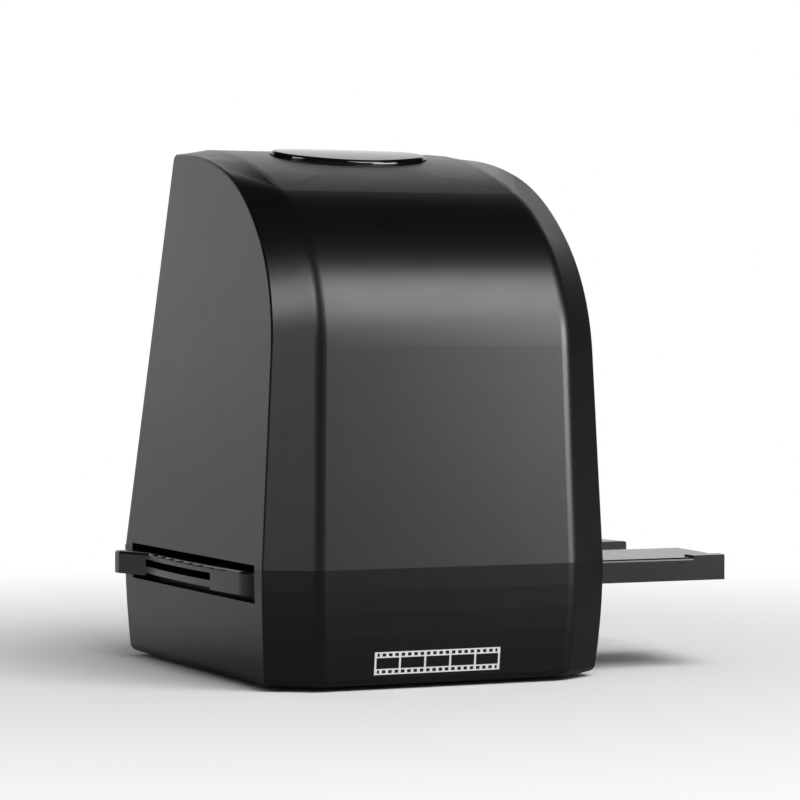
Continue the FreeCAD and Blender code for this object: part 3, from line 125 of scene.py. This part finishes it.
def spread(colour, share):
    """The colour made darker and lighter by a share."""
    return [c * (1 - share) for c in colour], [min(c * (1 + share), 1.0) for c in colour]


class Tree:
    """A node tree with short calls for adding and linking nodes."""

    def __init__(self, tree):
        self.tree = tree

    def add(self, kind, **settings):
        node = self.tree.nodes.new(kind)
        for key, value in settings.items():
            setattr(node, key, value)
        return node

    def link(self, source, target):
        self.tree.links.new(source, target)

    def maths(self, operation, *values):
        node = self.add("ShaderNodeMath", operation=operation)
        for number, value in enumerate(values):
            if isinstance(value, float):
                node.inputs[number].default_value = value
            else:
                self.link(value, node.inputs[number])
        return node.outputs[0]

    def smooth(self, source, edge, low, high):
        """A soft step from one value to another between the two ends of an edge."""
        node = self.add("ShaderNodeMapRange", interpolation_type="SMOOTHSTEP")
        for label, value in (("From Min", edge[0]), ("From Max", edge[1]), ("To Min", low), ("To Max", high)):
            node.inputs[label].default_value = value
        self.link(source, node.inputs["Value"])
        return node.outputs["Result"]

    def mix(self, share, first, second):
        node = self.add("ShaderNodeMixShader")
        for number, output in enumerate((share, first, second)):
            self.link(output, node.inputs[number])
        return node.outputs[0]


class Finish(Tree):
    """A material's node tree with short calls for colour, sheen and grain over the object."""

    def __init__(self, name):
        self.material = bpy.data.materials.new(name)
        self.material.use_nodes = True
        super().__init__(self.material.node_tree)
        self.shader = self.tree.nodes["Principled BSDF"]
        self.place = self.add("ShaderNodeTexCoord").outputs["Object"]

    def set(self, **values):
        for key, value in values.items():
            self.shader.inputs[key.replace("_", " ")].default_value = value

    def noise(self, cell, detail, stretch):
        """Noise whose features are about one cell across."""
        mapping = self.add("ShaderNodeMapping")
        mapping.inputs["Scale"].default_value = stretch
        self.link(self.place, mapping.inputs["Vector"])
        node = self.add("ShaderNodeTexNoise")
        node.inputs["Scale"].default_value = 1.0 / cell
        node.inputs["Detail"].default_value = detail
        self.link(mapping.outputs["Vector"], node.inputs["Vector"])
        return node.outputs["Fac"]

    def ramp(self, source, low, high, start=0.3, end=0.7):
        """Colours or greys spread over a source between two stops."""
        node = self.add("ShaderNodeValToRGB")
        node.color_ramp.elements[0].position = start
        node.color_ramp.elements[1].position = end
        node.color_ramp.elements[0].color = colour4(low)
        node.color_ramp.elements[1].color = colour4(high)
        self.link(source, node.inputs["Fac"])
        return node.outputs["Color"]

    def bump(self, height, depth):
        node = self.add("ShaderNodeBump")
        node.inputs["Distance"].default_value = depth
        self.link(height, node.inputs["Height"])
        self.link(node.outputs["Normal"], self.shader.inputs["Normal"])

    def colour(self, low, high, cell, detail=2.0):
        self.link(self.ramp(self.noise(cell, detail, EVEN), low, high), self.shader.inputs["Base Color"])

    def sheen(self, low, high, cell, detail=2.0, stretch=EVEN, start=0.3, end=0.7):
        rough = self.ramp(self.noise(cell, detail, stretch), low, high, start, end)
        self.link(rough, self.shader.inputs["Roughness"])

    def grain(self, cell, depth, detail=2.0, stretch=EVEN):
        self.bump(self.noise(cell, detail, stretch), depth)


def moulded_plastic(name, colour, roughness, grain=MOULD_GRAIN, depth=GRAIN_DEPTH, specular=0.5):
    """Injection-moulded plastic: spark-eroded grain, a cloudy sheen and a faintly uneven colour."""
    m = Finish(name)
    m.colour(*spread(colour, 0.12), cell=14 * MM, detail=3.0)
    m.sheen(roughness * 0.97, roughness * 1.03, cell=9 * MM, detail=4.0)
    m.set(Specular_IOR_Level=specular)
    m.grain(grain, depth, detail=3.0)
    return m.material


def polished_plastic(name, colour, roughness=0.07):
    """Polished plastic: a smooth skin with the faint waves of moulding and a few fine rubs."""
    m = Finish(name)
    m.colour(*spread(colour, 0.1), cell=11 * MM)
    m.sheen(roughness, roughness * 1.8, cell=0.5 * MM, detail=4.0, stretch=RUBBED, start=0.55, end=0.8)
    m.grain(7 * MM, 0.02 * MM)
    return m.material


def rubber(name, colour):
    m = Finish(name)
    m.colour(*spread(colour, 0.2), cell=1.5 * MM, detail=5.0)
    m.sheen(0.75, 0.95, cell=0.8 * MM)
    m.grain(0.2 * MM, 0.03 * MM, detail=4.0)
    return m.material


def plated_steel(name, colour):
    """Zinc-plated sheet and screws: fine brushed lines and a slightly cloudy plating."""
    m = Finish(name)
    m.colour(*spread(colour, 0.1), cell=2.0 * MM, detail=4.0)
    m.sheen(0.22, 0.38, cell=0.3 * MM, detail=4.0, stretch=BRUSHED)
    m.set(Metallic=1.0)
    m.grain(0.15 * MM, 0.005 * MM, detail=3.0, stretch=BRUSHED)
    return m.material


def laminate(name):
    """Circuit board: green solder mask over copper runs."""
    m = Finish(name)
    cells = m.add("ShaderNodeTexVoronoi", feature="DISTANCE_TO_EDGE", distance="CHEBYCHEV")
    cells.inputs["Scale"].default_value = 1.0 / TRACK_SPACING
    m.link(m.place, cells.inputs["Vector"])
    runs = m.ramp(cells.outputs["Distance"], (0.02, 0.16, 0.06), (0.01, 0.09, 0.035), 0.06, 0.1)
    m.link(runs, m.shader.inputs["Base Color"])
    m.sheen(0.3, 0.45, cell=1.0 * MM)
    m.bump(cells.outputs["Distance"], 0.03 * MM)
    return m.material


def opal_plastic(name, colour):
    m = Finish(name)
    m.colour(*spread(colour, 0.03), cell=4 * MM)
    m.sheen(0.3, 0.4, cell=2 * MM)
    m.set(Subsurface_Weight=0.3, Subsurface_Radius=(SCATTER_DEPTH, SCATTER_DEPTH, SCATTER_DEPTH))
    return m.material


def lens_glass(name, tint):
    m = Finish(name)
    m.colour(*spread(tint, 0.02), cell=5 * MM)
    m.sheen(0.01, 0.04, cell=1 * MM, detail=5.0)
    m.set(Transmission_Weight=1.0, IOR=1.52)
    return m.material


def screen_glass(name):
    """Clear pane whose back is printed black round a slightly lighter screen."""
    m = Finish(name)
    low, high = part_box("display_window")
    middle = (low + high) / 2
    half = (high - low) / 2
    split = m.add("ShaderNodeSeparateXYZ")
    m.link(m.place, split.inputs["Vector"])

    def within(axis, centre, reach):
        away = m.maths("ABSOLUTE", m.maths("SUBTRACT", split.outputs[axis], centre))
        return m.maths("LESS_THAN", away, reach)

    across = within("X", middle.x, half.x - DISPLAY_BORDER)
    up = within("Z", middle.z, half.z - DISPLAY_BORDER)
    dark, screen = (0.006, 0.006, 0.007), (0.022, 0.026, 0.034)
    m.link(m.ramp(m.maths("MULTIPLY", across, up), dark, screen, 0.4, 0.6), m.shader.inputs["Base Color"])
    m.sheen(0.04, 0.09, cell=6 * MM, detail=5.0)
    m.set(Coat_Weight=0.5, Coat_Roughness=0.03)
    return m.material


def printed_white(name):
    """Pad-printed white ink: nearly even in colour and sheen."""
    m = Finish(name)
    m.colour(0.74, 0.84, cell=0.6 * MM, detail=4.0)
    m.sheen(0.45, 0.6, cell=0.3 * MM)
    m.grain(0.2 * MM, 0.004 * MM)
    return m.material


def ribbon_film(name, colour):
    """Amber polyimide of the ribbon with its copper lines."""
    m = Finish(name)
    lines = m.add("ShaderNodeTexWave", bands_direction="X")
    lines.inputs["Scale"].default_value = 1.0 / RIBBON_SPACING
    m.link(m.place, lines.inputs["Vector"])
    m.link(m.ramp(lines.outputs["Fac"], *spread(colour, 0.35)), m.shader.inputs["Base Color"])
    m.sheen(0.25, 0.35, cell=1 * MM)
    return m.material


def dress_nodes():
    """Every CAD node gets the material of what it is made of."""
    cover = moulded_plastic("cover_plastic", (0.0022, 0.0022, 0.0025), 0.32)
    base = moulded_plastic("base_plastic", (0.0022, 0.0022, 0.0025), 0.32, specular=0.3)
    holder = moulded_plastic("holder_plastic", (0.0030, 0.0030, 0.0033), 0.24, 0.22 * MM, 0.006 * MM)
    inner = moulded_plastic("inner_plastic", (0.012, 0.012, 0.012), 0.6, 0.3 * MM, 0.02 * MM)
    white = moulded_plastic("white_plastic", (0.78, 0.78, 0.76), 0.5)
    steel = plated_steel("steel", (0.62, 0.62, 0.64))
    board = laminate("board")
    keys = moulded_plastic("key_plastic", (0.03, 0.03, 0.032), 0.28, 0.3 * MM, 0.004 * MM)
    switches = polished_plastic("switch", (0.05, 0.05, 0.05), 0.3)
    materials = {
        "cover": cover, "base_shell": base, "film_tray": holder, "film_lid": holder, "holder_guide": inner,
        "optics_tower": inner, "lens_mount": inner, "lens_barrel": inner, "backlight_housing": white,
        "rubber_feet": rubber("foot_rubber", (0.03, 0.03, 0.03)),
        "case_screws": steel, "guide_screws": steel, "tower_screws": steel, "board_screws": steel,
        "button_board_screws": steel, "detent_spring": steel, "lid_hinge_pins": steel,
        "usb_socket": steel, "card_socket": steel,
        "led_board": board, "sensor_board": board, "main_board": board, "button_board": board,
        "backlight_leds": polished_plastic("led", (0.85, 0.82, 0.6), 0.2),
        "diffuser_plate": opal_plastic("opal", (0.88, 0.88, 0.88)),
        "image_sensor": polished_plastic("sensor", (0.06, 0.05, 0.09)),
        "lens_elements": lens_glass("lens_glass", (0.93, 0.95, 0.97)),
        "sensor_ribbon": ribbon_film("ribbon", (0.45, 0.24, 0.06)),
        "display_window": screen_glass("window_glass"),
        "display_panel": polished_plastic("display", (0.02, 0.022, 0.028), 0.15),
        "key_switches": switches, "button_switch": switches,
        "scan_button": polished_plastic("button_plastic", (0.004, 0.004, 0.0045)),
        "power_key": keys, "menu_key": keys, "left_key": keys, "right_key": keys,
    }
    for name, node in nodes.items():
        node.data.materials.clear()
        node.data.materials.append(materials[name])


def rectangle(left, low, right, high):
    return [(left, low), (right, low), (right, high), (left, high)]


def add_print(name, areas, surface, ink, body):
    """Thin ink shapes, each a ring of (across, up) points, laid on a surface(across, up, height above it)."""
    mesh = bpy.data.meshes.new(name)
    shape = bmesh.new()
    for ring in areas:
        near = [shape.verts.new(surface(across, up, PRINT_THICKNESS)) for across, up in ring]
        far = [shape.verts.new(surface(across, up, -PRINT_SINK)) for across, up in ring]
        shape.faces.new(near)
        shape.faces.new(list(reversed(far)))
        for side in range(len(ring)):
            after = (side + 1) % len(ring)
            shape.faces.new((near[after], near[side], far[side], far[after]))
    bmesh.ops.recalc_face_normals(shape, faces=shape.faces)
    shape.to_mesh(mesh)
    shape.free()
    piece = bpy.data.objects.new(name, mesh)
    bpy.context.scene.collection.objects.link(piece)
    mesh.materials.append(ink)
    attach(piece, body)


def strip_areas():
    """White areas of the strip of film: its edges, the posts between holes and the bars between frames."""
    edge = PRINT_HEIGHT * EDGE_SHARE
    hole = PRINT_HEIGHT * HOLE_SHARE
    bar = PRINT_HEIGHT * BAR_SHARE
    band = edge + hole + edge
    pitch = PRINT_WIDTH / (PRINT_FRAMES * PERFORATIONS_PER_FRAME)
    post = pitch * POST_SHARE
    areas = []
    for low in (0.0, PRINT_HEIGHT - edge, band - edge, PRINT_HEIGHT - band):
        areas.append(rectangle(0.0, low, PRINT_WIDTH, low + edge))
    for step in range(PRINT_FRAMES * PERFORATIONS_PER_FRAME + 1):
        left = min(max(step * pitch - post / 2, 0.0), PRINT_WIDTH - post)
        for low in (edge, PRINT_HEIGHT - edge - hole):
            areas.append(rectangle(left, low, left + post, low + hole))
    for step in range(PRINT_FRAMES + 1):
        left = min(max(step * PRINT_WIDTH / PRINT_FRAMES - bar / 2, 0.0), PRINT_WIDTH - bar)
        areas.append(rectangle(left, band, left + bar, PRINT_HEIGHT - band))
    return areas


def make_strip_print(ink):
    low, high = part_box("base_shell")

    def front(across, up, height):
        bow = (high.z - PRINT_LOW - up) / (high.z - low.z)
        return (PRINT_LEFT + across, low.y + BASE_BOW * bow * bow - height, PRINT_LOW + up)

    add_print("film_strip_print", strip_areas(), front, ink, "housing")


def power_sign():
    """A ring open at its top with a bar through the gap."""
    areas = [rectangle(-SIGN_LINE / 2, 0.0, SIGN_LINE / 2, SIGN_REACH)]
    inner = SIGN_REACH - SIGN_LINE
    first = math.pi / 2 + RING_GAP
    length = 2 * math.pi - 2 * RING_GAP
    turns = [first + length * step / RING_STEPS for step in range(RING_STEPS + 1)]
    for start, end in zip(turns, turns[1:]):
        corners = ((start, SIGN_REACH), (end, SIGN_REACH), (end, inner), (start, inner))
        areas.append([(radius * math.cos(turn), radius * math.sin(turn)) for turn, radius in corners])
    return areas


def menu_sign():
    """Three short lines."""
    areas = []
    for up in (-MENU_SPACING, 0.0, MENU_SPACING):
        areas.append(rectangle(-SIGN_REACH, up - SIGN_LINE / 2, SIGN_REACH, up + SIGN_LINE / 2))
    return areas


def arrow_sign(way):
    """A solid arrow head that points along the machine's x."""
    return [[(way * SIGN_REACH, 0.0), (-way * ARROW_BACK, SIGN_REACH), (-way * ARROW_BACK, -SIGN_REACH)]]


def make_key_signs(ink):
    out = Vector((0.0, math.cos(SLOPE_LEAN), math.sin(SLOPE_LEAN)))
    uphill = Vector((0.0, -math.sin(SLOPE_LEAN), math.cos(SLOPE_LEAN)))
    signs = {
        "power_key": power_sign(), "menu_key": menu_sign(),
        "left_key": arrow_sign(-1), "right_key": arrow_sign(1),
    }
    for key, areas in signs.items():
        low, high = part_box(key)
        middle = (low.x + high.x) / 2

        def face(across, up, height):
            return KEY_FACE + Vector((middle + across, 0.0, 0.0)) + uphill * up + out * height

        add_print(key + "_sign", areas, face, ink, key)


def make_camera():
    data = bpy.data.cameras.new("camera")
    data.lens = CAMERA_LENS
    data.sensor_width = SENSOR_WIDTH
    data.clip_start = CLIP_NEAR
    data.clip_end = CLIP_FAR
    camera = bpy.data.objects.new("camera", data)
    bpy.context.scene.collection.objects.link(camera)
    turn = Matrix.Rotation(-CAMERA_YAW, 4, "Z")
    tip = Matrix.Rotation(math.pi / 2 + CAMERA_PITCH, 4, "X")
    camera.matrix_world = Matrix.Translation(CAMERA_PLACE) @ turn @ tip
    bpy.context.scene.camera = camera


def area_lamp(name, azimuth, elevation, width, height, brightness, colour):
    """Rectangular lamp that faces the object from a direction round it."""
    side, up = math.radians(azimuth), math.radians(elevation)
    way = Vector((math.sin(side) * math.cos(up), -math.cos(side) * math.cos(up), math.sin(up)))
    data = bpy.data.lights.new(name, "AREA")
    data.shape = "RECTANGLE"
    data.size = width
    data.size_y = height
    data.energy = brightness * math.pi * width * height
    data.color = colour
    lamp = bpy.data.objects.new(name, data)
    bpy.context.scene.collection.objects.link(lamp)
    place = LIGHT_CENTRE + way * LIGHT_DISTANCE
    lamp.matrix_world = Matrix.Translation(place) @ (-way).to_track_quat("-Z", "Y").to_matrix().to_4x4()
    return lamp


def make_lights():
    """One lamp lights the surfaces at a plain level. The softboxes are only seen in their gloss."""
    area_lamp(*KEY_LAMP).visible_glossy = False
    for facts in SOFTBOXES:
        area_lamp(*facts).visible_diffuse = False


def make_world():
    """White surroundings for what sees them directly, in gloss or through glass, and soft grey for the light.
    In gloss the white is a backdrop behind the object, and the rest of the room is dim."""
    world = bpy.data.worlds.new("studio")
    bpy.context.scene.world = world
    world.use_nodes = True
    w = Tree(world.node_tree)
    w.tree.nodes.clear()
    way = w.add("ShaderNodeSeparateXYZ")
    w.link(w.add("ShaderNodeTexCoord").outputs["Generated"], way.inputs[0])
    aside = w.maths("MULTIPLY", way.outputs["X"], BACKDROP_WAY[0])
    towards = w.maths("MULTIPLY_ADD", way.outputs["Y"], BACKDROP_WAY[1], aside)
    behind = w.smooth(towards, BACKDROP_EDGE, 0.0, 1.0)
    low = w.smooth(way.outputs["Z"], BACKDROP_TOP, 1.0, 0.0)
    backdrop = w.maths("MAXIMUM", w.maths("MULTIPLY", behind, low), ROOM_SHARE)
    path = w.add("ShaderNodeLightPath")
    dimmed = w.maths("MULTIPLY", path.outputs["Is Glossy Ray"], w.maths("SUBTRACT", 1.0, backdrop))
    white = w.add("ShaderNodeBackground")
    w.link(w.maths("SUBTRACT", 1.0, dimmed), white.inputs["Strength"])
    soft = w.add("ShaderNodeBackground")
    soft.inputs["Strength"].default_value = SOFT_LIGHT
    for background in (white, soft):
        background.inputs["Color"].default_value = colour4(WHITE)
    seen = w.maths("MAXIMUM", path.outputs["Is Camera Ray"], path.outputs["Is Glossy Ray"])
    seen = w.maths("MAXIMUM", seen, path.outputs["Is Transmission Ray"])
    output = w.add("ShaderNodeOutputWorld")
    w.link(w.mix(seen, soft.outputs[0], white.outputs[0]), output.inputs["Surface"])


def floor_finish():
    """Pale floor that keeps shadows near the object and turns plain white further out for the camera. In
    gloss the floor ahead of the object is darker, a painted shade that stands in for its contact shadow in
    reflections.
    """
    m = Finish("floor")
    m.set(Roughness=FLOOR_ROUGHNESS, Specular_IOR_Level=FLOOR_SPECULAR)
    path = m.add("ShaderNodeLightPath")
    towards = m.add("ShaderNodeVectorMath", operation="DOT_PRODUCT")
    towards.inputs[1].default_value = FLOOR_BEHIND_WAY
    m.link(m.place, towards.inputs[0])
    # Painted shade: ahead of the object, glossy rays see the floor in a darker grey, standing in for its
    # contact shadow in reflections.
    painted_shade_ahead = m.smooth(towards.outputs["Value"], FLOOR_BEHIND_EDGE, 1.0, 0.0)
    pale_or_painted_shade = m.add("ShaderNodeMix", data_type="RGBA")
    pale_or_painted_shade.inputs["A"].default_value = colour4(FLOOR_GREY)
    pale_or_painted_shade.inputs["B"].default_value = colour4(FLOOR_PAINTED_SHADE_IN_GLOSS)
    m.link(m.maths("MULTIPLY", painted_shade_ahead, path.outputs["Is Glossy Ray"]), pale_or_painted_shade.inputs["Factor"])
    m.link(pale_or_painted_shade.outputs["Result"], m.shader.inputs["Base Color"])
    length = m.add("ShaderNodeVectorMath", operation="LENGTH")
    m.link(m.place, length.inputs[0])
    far = m.smooth(length.outputs["Value"], FLOOR_WHITE_EDGE, 0.0, 1.0)
    glow = m.add("ShaderNodeEmission")
    glow.inputs["Color"].default_value = colour4(WHITE)
    white = m.maths("MULTIPLY", far, path.outputs["Is Camera Ray"])
    surface = m.mix(white, m.shader.outputs[0], glow.outputs[0])
    m.link(surface, m.tree.nodes["Material Output"].inputs["Surface"])
    return m.material


def make_floor():
    mesh = bpy.data.meshes.new("floor")
    corners = [(x, y, 0) for x, y in rectangle(-FLOOR_HALF, -FLOOR_HALF, FLOOR_HALF, FLOOR_HALF)]
    mesh.from_pydata(corners, [], [(0, 1, 2, 3)])
    mesh.materials.append(floor_finish())
    floor = bpy.data.objects.new("floor", mesh)
    bpy.context.scene.collection.objects.link(floor)


dress_nodes()
print_ink = printed_white("print_white")
make_strip_print(print_ink)
make_key_signs(print_ink)
make_camera()
make_lights()
make_world()
make_floor()
bpy.context.scene.view_settings.view_transform = "Standard"
